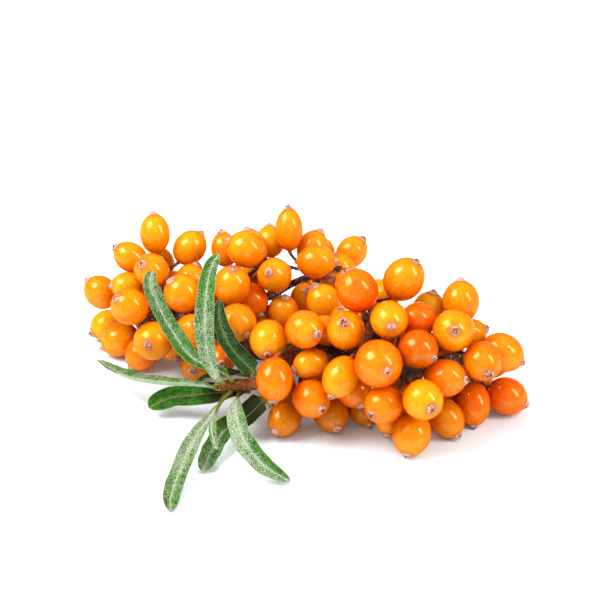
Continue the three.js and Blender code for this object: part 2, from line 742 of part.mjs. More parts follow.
// Each berry hangs on the nearest spur that its stalk can reach in the clear. On the side turned away, a berry
// that no spur can reach doesn't grow.
function hang(entry) {
  const foot = entry.centre.clone().addScaledVector(entry.tip, -entry.long / 2);
  const ways = spurs.flatMap((spur) => BENDS.map((bend) => {
    const crowding = CROWDED_COST * spur.berries.length ** 2;
    const bending = BEHIND_COST * bend.behind + ASIDE_COST * bend.aside.length();
    return { spur, bend, cost: spur.tip.distanceTo(foot) + bending + crowding, entry };
  }));
  ways.sort((one, other) => one.cost - other.cost);
  let best = null;
  for (const way of ways.filter((one) => one.cost < MAX_STALK)) {
    if (best === null || way.cost < best.cost) {
      const curve = stalkCurve(way.spur, entry, way.bend.behind, way.bend.aside);
      const cramped = Math.max(0, STALK_CLEARANCE - clearance(curve, way.spur, entry));
      const cost = way.cost + CRAMPED_COST * cramped;
      if (best === null || cost < best.cost) {
        best = { ...way, cost, curve, points: curve.getPoints(STALK_SAMPLES) };
      }
    }
  }
  if (entry.seenPlace || best.cost < MAX_STALK) {
    best.spur.berries.push(entry);
    stalks.push(best);
  }
}

berries.forEach(hang);

const pedicelCorners = [90, 210, 330].map(THREE.MathUtils.degToRad);
const pedicelSection = new THREE.Shape(pedicelCorners.map((angle) => (
  new THREE.Vector2(PEDICEL_RADIUS * Math.cos(angle), PEDICEL_RADIUS * Math.sin(angle))
)));

// One spur with its stalks and berries is one solid.
function clusterGeometry(spur) {
  let solid = toSolid(turned(SPUR_OUTLINE, SPUR_SIDES, spur.foot, spur.outwards, 1, 1));
  for (const stalk of stalks.filter((one) => one.spur === spur)) {
    const extrusion = { steps: PEDICEL_STEPS, bevelEnabled: false, extrudePath: stalk.curve };
    const bar = new THREE.ExtrudeGeometry(pedicelSection, extrusion);
    const { centre, tip, wide, long } = stalk.entry;
    const body = turned(BERRY_OUTLINE, BERRY_SIDES, centre, tip, wide / 2, long / 2);
    solid = solid.add(toSolid(bar)).add(toSolid(body));
  }
  return toGeometry(solid.simplify(SMALLEST_EDGE));
}

// ---------------------------------------------------------------- the sprig

const group = new THREE.Group();

function addPiece(name, geometry, finish) {
  const piece = new THREE.Mesh(geometry, new THREE.MeshStandardMaterial(finish));
  piece.name = name;
  group.add(piece);
}

addPiece('main_stem', mainStem.geometry, BARK);
addPiece('back_branch', grownFrom(backBranch, mainStem), BARK);
addPiece('side_twig', grownFrom(sideTwig, mainStem), RED_BARK);
addPiece('left_side_twig', grownFrom(leftSideTwig, mainStem), BARK);
addPiece('back_side_twig', grownFrom(backSideTwig, backBranch), BARK);
addPiece('leafy_shoot', grownFrom(leafyShoot, mainStem), SHOOT);

const budPlace = leafyShoot.curve.getPointAt(1);
const budDirection = leafyShoot.curve.getTangentAt(1);
const budFoot = budPlace.addScaledVector(budDirection, JOINT_GAP);
addPiece('end_bud', turned(BUD_OUTLINE, TWIG_SIDES, budFoot, budDirection, 1, 1), BUD);

for (const one of leaves) {
  addPiece(one.name, one.geometry, LEAF);
}

const usedSpurs = spurs.filter((spur) => spur.berries.length > 0);
const counts = {};
for (const spur of usedSpurs) {
  counts[spur.name] = (counts[spur.name] ?? 0) + 1;
  const number = String(counts[spur.name]).padStart(2, '0');
  addPiece(`${spur.name}_${number}`, clusterGeometry(spur), BERRY);
}

// Sets the origin under the middle of the bounding box.
const box = new THREE.Box3().setFromObject(group);
const middle = box.getCenter(new THREE.Vector3());
group.position.set(-middle.x, -middle.y, -box.min.z);

export default group;
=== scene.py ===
"""A sea buckthorn sprig on a pale floor: a forked twig thick with berries, and one tuft of narrow leaves."""
import math
import random

import bmesh
import bpy
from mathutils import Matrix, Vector, noise


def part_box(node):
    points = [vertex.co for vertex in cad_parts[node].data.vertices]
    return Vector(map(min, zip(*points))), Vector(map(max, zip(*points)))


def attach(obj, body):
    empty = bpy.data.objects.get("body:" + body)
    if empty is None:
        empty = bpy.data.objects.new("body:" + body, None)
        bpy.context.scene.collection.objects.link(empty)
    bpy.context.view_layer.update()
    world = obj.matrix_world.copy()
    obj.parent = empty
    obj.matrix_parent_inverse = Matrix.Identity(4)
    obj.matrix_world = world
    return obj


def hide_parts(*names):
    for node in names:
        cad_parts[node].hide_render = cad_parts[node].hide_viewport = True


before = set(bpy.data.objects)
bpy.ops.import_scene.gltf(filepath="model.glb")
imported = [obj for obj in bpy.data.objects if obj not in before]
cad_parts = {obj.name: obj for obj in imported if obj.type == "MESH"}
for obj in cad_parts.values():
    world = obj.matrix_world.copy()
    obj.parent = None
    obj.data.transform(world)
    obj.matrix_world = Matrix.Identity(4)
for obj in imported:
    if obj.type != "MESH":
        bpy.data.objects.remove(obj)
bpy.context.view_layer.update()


# ------------------------------------------------------------------ woody twigs
# The stem and its side twigs are last year's wood: round, a little knobbly, under a thin dry bark. The bark
# is one skin that follows each plain bar of the frame, and it swells where a spur stands on it.
MM = 0.001
SAME_CORNER = 0.001 * MM
ROUND_ENOUGH = 0.004 * MM
FIRST_SIDE = Vector((0.13, -0.86, 0.49))
TWIG_SIDES = 8
COLLAR_DEPTH = 0.8
COLLAR_SPREAD = 1.35
COLLAR_SEARCH = 200
SPUR_SIDES = 5
SPUR_FOOT_DEPTH = 0.15 * MM
SPUR_HEIGHT = 1.0 * MM
SPUR_SEARCH = 100
BARK_STEP = 0.35 * MM
BARK_TURNS = 28
OLD_BARK_GRAIN = 0.09
SWELL_REACH = 1.2 * MM
SWELL_MOST = 1.4
KNOB_SIZE = 1.6 * MM
CRUMB_SIZE = 0.6 * MM
CRUMB_SHARE = 0.6
END_ROUNDING = 0.6


def read(name):
    """A node of the frame with its corners joined, ready to be read."""
    mesh = bmesh.new()
    mesh.from_mesh(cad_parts[name].data)
    bmesh.ops.remove_doubles(mesh, verts=mesh.verts, dist=SAME_CORNER)
    return mesh


def poles(mesh, sides):
    """The ends of a mesh's round shapes: each end point, the middle of the ring next to it and its radius."""
    found = []
    for vertex in mesh.verts:
        ring = [edge.other_vert(vertex).co for edge in vertex.link_edges]
        if len(ring) == sides:
            middle = sum(ring, Vector()) / sides
            reaches = [(point - middle).length for point in ring]
            if max(reaches) - min(reaches) < ROUND_ENOUGH:
                found.append((vertex, middle, sum(reaches) / sides))
    return found


def rings_from(pole, sides):
    """The rings of points along a bar, from one of its ends, for as far as they are whole.

    A ring's points are put in order of where they lie, so that every run gives the same.
    """
    seen = {pole}
    layer = [pole]
    rings = []
    while layer:
        step = {edge.other_vert(vertex) for vertex in layer for edge in vertex.link_edges} - seen
        if len(step) != sides:
            break
        seen |= step
        layer = sorted(step, key=lambda vertex: tuple(vertex.co))
        rings.append([vertex.co.copy() for vertex in layer])
    return rings


def smooth(values, count):
    """A smooth run of count + 1 values through the given numbers or vectors."""
    ends = [values[0] * 2 - values[1], *values, values[-1] * 2 - values[-2]]
    run = []
    for step in range(count + 1):
        place = step / count * (len(values) - 1)
        first = min(int(place), len(values) - 2)
        t = place - first
        a, b, c, d = ends[first:first + 4]
        run.append((b * 2 + (c - a) * t + (a * 2 - b * 5 + c * 4 - d) * t * t
                    + (b * 3 - a - c * 3 + d) * t ** 3) * 0.5)
    return run


def length_of(line):
    return sum((after - before).length for before, after in zip(line, line[1:]))


def turned_round(line, turns):
    """For each point of a line, the ways that point out from it all round, turning as little as they can."""
    out = FIRST_SIDE
    rounds = []
    for index, _ in enumerate(line):
        along = (line[min(index + 1, len(line) - 1)] - line[max(index - 1, 0)]).normalized()
        side = out.cross(along).normalized()
        out = along.cross(side)
        angles = [2 * math.pi * turn / turns for turn in range(turns)]
        rounds.append([side * math.cos(angle) + out * math.sin(angle) for angle in angles])
    return rounds


def skin(rows, finish=0, **values):
    """A closed skin over rings of points, the number of its material, and values kept for that material.

    Its last two faces close its ends, the first end and then the last.
    """
    turns = len(rows[0])
    faces = []
    for row in range(len(rows) - 1):
        for turn in range(turns):
            beside = (turn + 1) % turns
            faces.append((row * turns + turn, row * turns + beside,
                          (row + 1) * turns + beside, (row + 1) * turns + turn))
    faces.append(tuple(reversed(range(turns))))
    faces.append(tuple(range((len(rows) - 1) * turns, len(rows) * turns)))
    points = [point for row in rows for point in row]
    return {"points": points, "faces": faces, "finishes": [finish] * len(faces), "values": values}


def piece(name, node, skins, materials):
    """One piece made of closed skins, which stands for a node of the frame.

    A value that a skin doesn't have is nought on it. What would sink into the floor lies flat on it.
    """
    points, faces, finishes, values = [], [], [], {}
    for one in skins:
        for label, numbers in one["values"].items():
            kept = values.setdefault(label, [])
            kept += [0.0] * (len(points) - len(kept)) + numbers
        faces += [tuple(corner + len(points) for corner in face) for face in one["faces"]]
        points += [Vector((point.x, point.y, max(point.z, 0.0))) for point in one["points"]]
        finishes += one["finishes"]
    mesh = bpy.data.meshes.new(name)
    mesh.from_pydata(points, [], faces)
    mesh.polygons.foreach_set("material_index", finishes)
    for label, numbers in values.items():
        layer = mesh.attributes.new(label, "FLOAT", "POINT")
        layer.data.foreach_set("value", numbers + [0.0] * (len(points) - len(numbers)))
    for material in materials:
        mesh.materials.append(material)
    facing_out = bmesh.new()
    facing_out.from_mesh(mesh)
    bmesh.ops.recalc_face_normals(facing_out, faces=facing_out.faces)
    facing_out.to_mesh(mesh)
    facing_out.free()
    mesh.shade_smooth()
    made = bpy.data.objects.new(name, mesh)
    bpy.context.scene.collection.objects.link(made)
    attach(made, "root")
    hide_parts(node)
    return made


def linear(text):
    """A colour written as an sRGB hex value, as the linear colour that shaders take."""
    parts = [int(text[place:place + 2], 16) / 255 for place in (1, 3, 5)]
    turned = [part / 12.92 if part <= 0.04045 else ((part + 0.055) / 1.055) ** 2.4 for part in parts]
    return (*turned, 1.0)


def add(tree, kind, inputs=None, stops=None, **settings):
    """Adds a node with its settings, its ramp's stops, and a value or a link for each input named."""
    made = tree.nodes.new(kind)
    for label, value in settings.items():
        setattr(made, label, value)
    for label, value in (inputs or {}).items():
        if isinstance(value, bpy.types.NodeSocket):
            tree.links.new(value, made.inputs[label])
        else:
            made.inputs[label].default_value = value
    if stops:
        while len(made.color_ramp.elements) < len(stops):
            made.color_ramp.elements.new(1)
        for element, (place, colour) in zip(made.color_ramp.elements, stops):
            element.position = place
            element.color = linear(colour)
    return made.outputs


def new_material(name):
    made = bpy.data.materials.new(name)
    made.use_nodes = True
    made.node_tree.nodes.clear()
    return made, made.node_tree


# Dry young bark: thin, dull and weathered from red-brown to grey in patches of about 2 mm, with fine cracks
# and small pale scales on it. Its darkest tone lies where patches and cracks are low, partly where the bump
# sinks: painted shade in the cracks, on top of the weathering. It is rough, so only its raised edges catch
# the light.
def dry_bark(name, shade, ground, weathered, scale):
    made, tree = new_material(name)
    place = add(tree, "ShaderNodeTexCoord")["Object"]
    patches = add(tree, "ShaderNodeTexNoise", {
        "Vector": place, "Scale": 1 / (2.2 * MM), "Detail": 6.0, "Roughness": 0.65})["Fac"]
    cracks = add(tree, "ShaderNodeTexNoise", {
        "Vector": place, "Scale": 1 / (0.5 * MM), "Detail": 5.0, "Roughness": 0.75, "Distortion": 1.4})["Fac"]
    flakes = add(tree, "ShaderNodeTexVoronoi", {"Vector": place, "Scale": 1 / (0.6 * MM)})
    chance = add(tree, "ShaderNodeSeparateColor", {"Color": flakes["Color"]})["Red"]
    reach = add(tree, "ShaderNodeMapRange", {
        "Value": chance, "From Min": 0.55, "From Max": 1.0, "To Min": 0.0, "To Max": 0.5})["Result"]
    flake = add(tree, "ShaderNodeMath", {0: reach, 1: flakes["Distance"]}, operation="GREATER_THAN")["Value"]
    weather = add(tree, "ShaderNodeMath", {0: patches, 1: cracks}, operation="ADD")["Value"]
    colour = add(tree, "ShaderNodeMapRange", {"Value": weather, "From Min": 0.7, "From Max": 1.3})["Result"]
    # Its darkest stop is painted shade where the patches and cracks are low.
    base = add(tree, "ShaderNodeValToRGB", {"Fac": colour},
               stops=[(0.15, shade), (0.5, ground), (0.85, weathered)])["Color"]
    flaked = add(tree, "ShaderNodeMix", {0: flake, 6: base, 7: linear(scale)}, data_type="RGBA")[2]
    height = add(tree, "ShaderNodeMath", {0: cracks, 1: flake}, operation="ADD")["Value"]
    bump = add(tree, "ShaderNodeBump", {"Height": height, "Strength": 0.9, "Distance": 0.15 * MM})["Normal"]
    surface = add(tree, "ShaderNodeBsdfPrincipled", {
        "Base Color": flaked, "Roughness": 0.8, "IOR": 1.3, "Normal": bump})["BSDF"]
    add(tree, "ShaderNodeOutputMaterial", {"Surface": surface})
    return made


# The grey bark's colours are kept dark as painted shade, for the stem, twigs and spurs that lie deep among
# the berries.
grey_bark = dry_bark("dry_grey_bark", "#1a0c06", "#482c1c", "#887058", "#a09082")
red_bark = dry_bark("dry_red_bark", "#4a200e", "#94502c", "#a87c60", "#b09c8c")

# Cut wood: pale and matt, with a fine grain. It shows only where the stem was cut.
cut_wood, wood_tree = new_material("cut_pale_wood")
wood_place = add(wood_tree, "ShaderNodeTexCoord")["Object"]
wood_grain = add(wood_tree, "ShaderNodeTexNoise", {
    "Vector": wood_place, "Scale": 1 / (0.3 * MM), "Detail": 4.0})["Fac"]
wood_colour = add(wood_tree, "ShaderNodeValToRGB", {"Fac": wood_grain},
                  stops=[(0.3, "#b58a55"), (0.7, "#e2c898")])["Color"]
wood_surface = add(wood_tree, "ShaderNodeBsdfPrincipled", {
    "Base Color": wood_colour, "Roughness": 0.7})["BSDF"]
add(wood_tree, "ShaderNodeOutputMaterial", {"Surface": wood_surface})


def bar_of(name):
    """A twig's centre line and its radii, from its thin end to its thick end."""
    mesh = read(name)
    pole, _, _ = min(poles(mesh, TWIG_SIDES), key=lambda end: end[2])
    rings = rings_from(pole, TWIG_SIDES)
    line = [sum(ring, Vector()) / TWIG_SIDES for ring in rings]
    radii = [(ring[0] - middle).length for ring, middle in zip(rings, line)]
    mesh.free()
    return line, radii


bars = {name: bar_of(name) for name in (
    "main_stem", "back_branch", "side_twig", "left_side_twig", "back_side_twig", "leafy_shoot")}

# A side twig's line goes on into the twig that it grows from, and widens into a collar there.
for child, parent in (
        ("back_branch", "main_stem"), ("side_twig", "main_stem"), ("left_side_twig", "main_stem"),
        ("back_side_twig", "back_branch"), ("leafy_shoot", "main_stem")):
    line, radii = bars[child]
    root = min(smooth(bars[parent][0], COLLAR_SEARCH), key=lambda point: (point - line[-1]).length)
    line.append(line[-1].lerp(root, COLLAR_DEPTH))
    radii.append(radii[-1] * COLLAR_SPREAD)


def spur_of(name):
    """Where the spur of a cluster stands on its twig, and the way it points.

    A spur whose foot isn't whole in the frame stands where its cluster comes closest to a twig.
    """
    mesh = read(name)
    feet = poles(mesh, SPUR_SIDES)
    if feet:
        foot, middle, _ = min(feet, key=lambda end: abs((end[0].co - end[1]).length - SPUR_FOOT_DEPTH))
        spur = (middle.copy(), (middle - foot.co).normalized())
    else:
        pairs = [(vertex.co.copy(), point) for line, _ in bars.values()
                 for point in smooth(line, SPUR_SEARCH) for vertex in mesh.verts]
        foot, inside = min(pairs, key=lambda pair: (pair[0] - pair[1]).length)
        way = (foot - inside).normalized()
        spur = (foot + way * SPUR_FOOT_DEPTH, way)
    mesh.free()
    return spur


clusters = sorted(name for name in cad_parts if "_berries_" in name)
spurs = {name: spur_of(name) for name in clusters}


def bark_on(name, knob, grain, thin=1.0):
    """The bark of one twig, from its thin end to its thick end.

    It swells by up to about a knob's height round a spur, and its grain is a share of its radius. At its thin
    end it is only a share as thick as the frame's bar.
    """
    line, radii = bars[name]
    radii = [radius * (1 - (1 - thin) * (1 - index / len(radii))) for index, radius in enumerate(radii)]
    steps = round(length_of(line) / BARK_STEP)
    middles = smooth(line, steps)
    rows = []
    for middle, radius, outs in zip(middles, smooth(radii, steps), turned_round(middles, BARK_TURNS)):
        row = []
        for out in outs:
            point = middle + out * radius
            swell = sum(math.exp(-((point - foot).length / SWELL_REACH) ** 2) for foot, _ in spurs.values())
            rough = noise.noise(point / KNOB_SIZE) + CRUMB_SHARE * noise.noise(point / CRUMB_SIZE)
            row.append(point + out * (knob * min(swell, SWELL_MOST) + radius * grain * rough))
        rows.append(row)
    rows.insert(0, [middles[0].lerp(point, END_ROUNDING) for point in rows[0]])
    return skin(rows)


# The stem's thick end is the one that was cut.
stem_bark = bark_on("main_stem", 0.35 * MM, OLD_BARK_GRAIN)
stem_bark["finishes"][-1] = 1
piece("main_stem_bark", "main_stem", [stem_bark], [grey_bark, cut_wood])
for name, knob, thin, bark in (
        ("back_branch", 0.3 * MM, 0.6, grey_bark), ("left_side_twig", 0.3 * MM, 1.0, grey_bark),
        ("back_side_twig", 0.3 * MM, 1.0, grey_bark), ("side_twig", 0.25 * MM, 0.7, red_bark)):
    piece(name + "_bark", name, [bark_on(name, knob, OLD_BARK_GRAIN, thin)], [bark])


# ------------------------------------------------------------------ leafy shoot
# The shoot is this year's, still soft: reddish brown where it leaves the stem, and olive towards its end,
# where the leaves stand close together. A small scaly bud closes its end.
soft_bark = dry_bark("soft_shoot_bark", "#401a08", "#7c3e14", "#8c5a20", "#8a7a3c")
SOFT_BARK_GRAIN = 0.07
piece("leafy_shoot_bark", "leafy_shoot", [bark_on("leafy_shoot", 0.0, SOFT_BARK_GRAIN)], [soft_bark])

BUD_LENGTH = 2.1 * MM
BUD_WIDTH = 0.8 * MM
BUD_SUNK = 0.3 * MM
BUD_PROFILE = (0.14, 0.85)
BUD_FULLNESS = 0.8
BUD_RIDGES = 0.12
BUD_TWIST = 7
BUD_STEPS = 14
BUD_TURNS = 18

# Bud scales: dry, pale orange and brown, papery, so they don't shine.
bud_scale, bud_tree = new_material("papery_bud_scale")
bud_place = add(bud_tree, "ShaderNodeTexCoord")["Object"]
bud_patches = add(bud_tree, "ShaderNodeTexNoise", {
    "Vector": bud_place, "Scale": 1 / (0.4 * MM), "Detail": 4.0})["Fac"]
bud_colour = add(bud_tree, "ShaderNodeValToRGB", {"Fac": bud_patches},
                 stops=[(0.35, "#b0682c"), (0.65, "#e8a050")])["Color"]
bud_surface = add(bud_tree, "ShaderNodeBsdfPrincipled", {"Base Color": bud_colour, "Roughness": 0.6})["BSDF"]
add(bud_tree, "ShaderNodeOutputMaterial", {"Surface": bud_surface})

bud_foot = bars["leafy_shoot"][0][0]
bud_low, bud_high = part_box("end_bud")
bud_way = ((bud_low + bud_high) / 2 - bud_foot).normalized()
bud_line = [bud_foot + bud_way * (BUD_LENGTH * step / BUD_STEPS - BUD_SUNK) for step in range(BUD_STEPS + 1)]
bud_rows = []
for step, (middle, outs) in enumerate(zip(bud_line, turned_round(bud_line, BUD_TURNS))):
    share = step / BUD_STEPS
    width = BUD_WIDTH * math.sin(math.pi * (BUD_PROFILE[0] + BUD_PROFILE[1] * share)) ** BUD_FULLNESS
    bud_rows.append([middle + out * width * (1 + BUD_RIDGES * math.sin(turn + BUD_TWIST * share))
                     for turn, out in enumerate(outs)])
piece("end_bud_scales", "end_bud", [skin(bud_rows)], [bud_scale])


# ------------------------------------------------------------------ leaves
# A leaf is long, narrow and thin, and a little folded along its midrib. Its upper side is green under a dust
# of silvery scales, with a pale midrib and a fine cream edge. Its underside is silvery all over.
LEAF_SIDES = 8
LEAF_STEPS = 120
LEAF_HALF = 9
LEAF_THICKNESS = 0.3 * MM
EDGE_THINNING = 0.85
LEAST_HALF_WIDTH = 0.02 * MM
GROOVE_WIDTH = 0.28 * MM
GROOVE_DEPTH = 0.14 * MM
KEEL_HEIGHT = 0.3 * MM
FOLD_CURVE = 1.3
WAVE_CURVE = 1.5
WAVES_ALONG = 8
WAVES_ACROSS = 1.2
EDGE_WANDER = 0.06
WANDERS_ALONG = 11
BLUNT_FULLNESS = 0.42
LEAF_STALK_RADIUS = 0.42 * MM
LEAF_STALK_FOOT = 1.2
LEAF_STALK_TAPER = 0.5
STALK_COLOUR_CURVE = 0.7
FAR_FROM_EDGE = 2
PAINTED_SHADE_MOST = 0.9
MARGIN_CREAM = "#acb078"
STALK_OLIVE = "#605c1c"
PAINTED_SHADE_BROWN = "#241e08"

# Shares of a leaf's length: where a plain end and a blunt end start to round off and over what length they
# do, and over what lengths its foot widens, its stalk opens into the blade and the painted shade at its foot
# fades.
PLAIN_END = (0.95, 0.05)
BLUNT_END = (0.65, 0.35)
FOOT_OPENS = 0.06
BLADE_OPENS = 0.07
PAINTED_SHADE_FADES = 0.15


# Leaf skin: a soft satin green that lets a little light through. Its flat silvery scales are about 0.2 mm
# across, some denser than others. They lie closest along the midrib, which shows in flecks between them.
# Towards some leaves' feet a painted shade turns the green dark brown, thins the scales and fades the
# midrib. The underside is the same skin with hardly a gap between its scales.
def leaf_skin(name, shade, green, light, silver, cover, vein="#b4b6a4"):
    made, tree = new_material(name)
    place = add(tree, "ShaderNodeTexCoord")["Object"]
    across = add(tree, "ShaderNodeAttribute", attribute_name="across")["Fac"]
    from_edge = add(tree, "ShaderNodeAttribute", attribute_name="edge")["Fac"]
    on_stalk = add(tree, "ShaderNodeAttribute", attribute_name="stalk")["Fac"]
    dust = add(tree, "ShaderNodeAttribute", attribute_name="dust")["Fac"]
    dark = add(tree, "ShaderNodeAttribute", attribute_name="dark")["Fac"]
    patches = add(tree, "ShaderNodeTexNoise", {
        "Vector": place, "Scale": 1 / (0.9 * MM), "Detail": 5.0, "Roughness": 0.7})["Fac"]
    ground = add(tree, "ShaderNodeValToRGB", {"Fac": patches},
                 stops=[(0.34, shade), (0.5, green), (0.68, light)])["Color"]
    # Painted shade: towards a leaf's foot its green is mixed into dark brown.
    darkened = add(tree, "ShaderNodeMix", {0: dark, 6: ground, 7: linear(PAINTED_SHADE_BROWN)}, data_type="RGBA")[2]
    scales = add(tree, "ShaderNodeTexVoronoi", {"Vector": place, "Scale": 1 / (0.2 * MM)})
    chances = add(tree, "ShaderNodeSeparateColor", {"Color": scales["Color"]})
    drift = add(tree, "ShaderNodeTexNoise", {"Vector": place, "Scale": 1 / (3.0 * MM), "Detail": 2.0})["Fac"]
    wanted = add(tree, "ShaderNodeMath", {0: drift, 1: 0.4, 2: cover - 0.2},
                 operation="MULTIPLY_ADD")["Value"]
    near_rib = add(tree, "ShaderNodeMapRange", {
        "Value": across, "From Min": 0.15, "From Max": 0.8, "To Min": 0.2, "To Max": 0.0})["Result"]
    dusted = add(tree, "ShaderNodeMath", {0: wanted, 1: near_rib}, operation="ADD")["Value"]
    share = add(tree, "ShaderNodeMath", {0: dusted, 1: dust}, operation="ADD")["Value"]
    # Fewer scales where the painted shade lies.
    bare = add(tree, "ShaderNodeMath", {0: dark, 1: -0.35, 2: share}, operation="MULTIPLY_ADD")["Value"]
    above = add(tree, "ShaderNodeMath", {0: bare, 1: scales["Distance"]}, operation="SUBTRACT")["Value"]
    scale = add(tree, "ShaderNodeMapRange", {
        "Value": above, "From Min": -0.08, "From Max": 0.08, "To Min": 0.0, "To Max": 1.0})["Result"]
    thick = add(tree, "ShaderNodeMapRange", {
        "Value": chances["Green"], "From Min": 0.0, "From Max": 1.0, "To Min": 0.25, "To Max": 1.0})["Result"]
    silvery = add(tree, "ShaderNodeMath", {0: scale, 1: thick}, operation="MULTIPLY")["Value"]
    dusty = add(tree, "ShaderNodeMix", {0: silvery, 6: darkened, 7: linear(silver)}, data_type="RGBA")[2]
    on_rib = add(tree, "ShaderNodeMapRange", {
        "Value": across, "From Min": 0.08, "From Max": 0.2, "To Min": 0.75, "To Max": 0.0})["Result"]
    # The pale midrib fades in the painted shade.
    lit = add(tree, "ShaderNodeMath", {0: dark, 1: -0.7, 2: 1.0}, operation="MULTIPLY_ADD")["Value"]
    flecked_rib = add(tree, "ShaderNodeMath", {0: on_rib, 1: thick}, operation="MULTIPLY")["Value"]
    clear_rib = add(tree, "ShaderNodeMath", {0: flecked_rib, 1: lit}, operation="MULTIPLY")["Value"]
    ribbed = add(tree, "ShaderNodeMix", {0: clear_rib, 6: dusty, 7: linear(vein)}, data_type="RGBA")[2]
    on_edge = add(tree, "ShaderNodeMapRange", {
        "Value": from_edge, "From Min": 0.04, "From Max": 0.15, "To Min": 0.6, "To Max": 0.0})["Result"]
    edged = add(tree, "ShaderNodeMix", {0: on_edge, 6: ribbed, 7: linear(MARGIN_CREAM)}, data_type="RGBA")[2]
    stalked = add(tree, "ShaderNodeMix", {0: on_stalk, 6: edged, 7: linear(STALK_OLIVE)}, data_type="RGBA")[2]
    relief = add(tree, "ShaderNodeMath", {0: silvery, 1: patches}, operation="ADD")["Value"]
    bump = add(tree, "ShaderNodeBump", {"Height": relief, "Strength": 0.7, "Distance": 0.07 * MM})["Normal"]
    surface = add(tree, "ShaderNodeBsdfPrincipled", {
        "Base Color": stalked, "Roughness": 0.6, "IOR": 1.2, "Normal": bump, "Subsurface Weight": 0.1,
        "Subsurface Radius": (0.4, 1.0, 0.2), "Subsurface Scale": 0.2 * MM})["BSDF"]
    add(tree, "ShaderNodeOutputMaterial", {"Surface": surface})
    return made


upper_side = leaf_skin("green_leaf_skin", "#143404", "#286006", "#427a12", "#aaae98", 0.39)
# A darker copy of the leaf skin, in darker green, silver and midrib: painted shade for the leaves that lie in
# shade behind the shoot and the other leaves.
shaded_side = leaf_skin("dark_leaf_skin", "#0c2404", "#163a06", "#24540a", "#7c8c62", 0.27, vein="#7c8660")
bright_side = leaf_skin("bright_leaf_skin", "#143a04", "#286408", "#3c7c0e", "#98a676", 0.22, vein="#a0926c")
under_side = leaf_skin("silver_leaf_skin", "#4e7040", "#6a885a", "#84986e", "#bcc6ae", 0.7)

shoot_line = bars["leafy_shoot"][0]


def blade_of(name):
    """A leaf's midrib line, and its half width as a vector towards the edge on the left of its upper side."""
    mesh = read(name)
    ends = poles(mesh, LEAF_SIDES)
    foot, _, _ = min(ends, key=lambda end: min((end[0].co - point).length for point in shoot_line))
    rings = rings_from(foot, LEAF_SIDES)
    mesh.free()
    middle = len(rings) // 2
    order = [*range(middle, len(rings)), *range(middle - 1, -1, -1)]
    ribs, sides = {}, {}
    for index in order:
        ring = rings[index]
        pairs = [(one, other) for one in ring for other in ring]
        guide = sides.get(index - 1 if index > middle else index + 1)
        if guide is None:
            left, right = max(pairs, key=lambda pair: (pair[0] - pair[1]).length)
            fold = (left + right) / 2 - sum(ring, Vector()) / LEAF_SIDES
        else:
            left, right = max(pairs, key=lambda pair: (pair[1] - pair[0]).dot(guide))
        chord = (right - left).normalized()
        between = sorted(ring, key=lambda point: abs((point - (left + right) / 2).dot(chord)))
        ribs[index] = (between[0] + between[1]) / 2
        sides[index] = (right - left) / 2
    ribs = [ribs[index] for index in range(len(rings))]
    sides = [sides[index] for index in range(len(rings))]
    along = ribs[middle + 1] - ribs[middle - 1]
    if along.cross(sides[middle]).dot(fold) < 0:
        sides = [-side for side in sides]
    return ribs, sides


def somewhere(chance, reach):
    """A random place in a noise pattern, so that no two pieces are uneven alike."""
    return Vector((chance.random(), chance.random(), chance.random())) * reach


def past(share, start, length):
    """How many lengths a share has gone past a start, and nought before it."""
    return max(0.0, (share - start) / length)


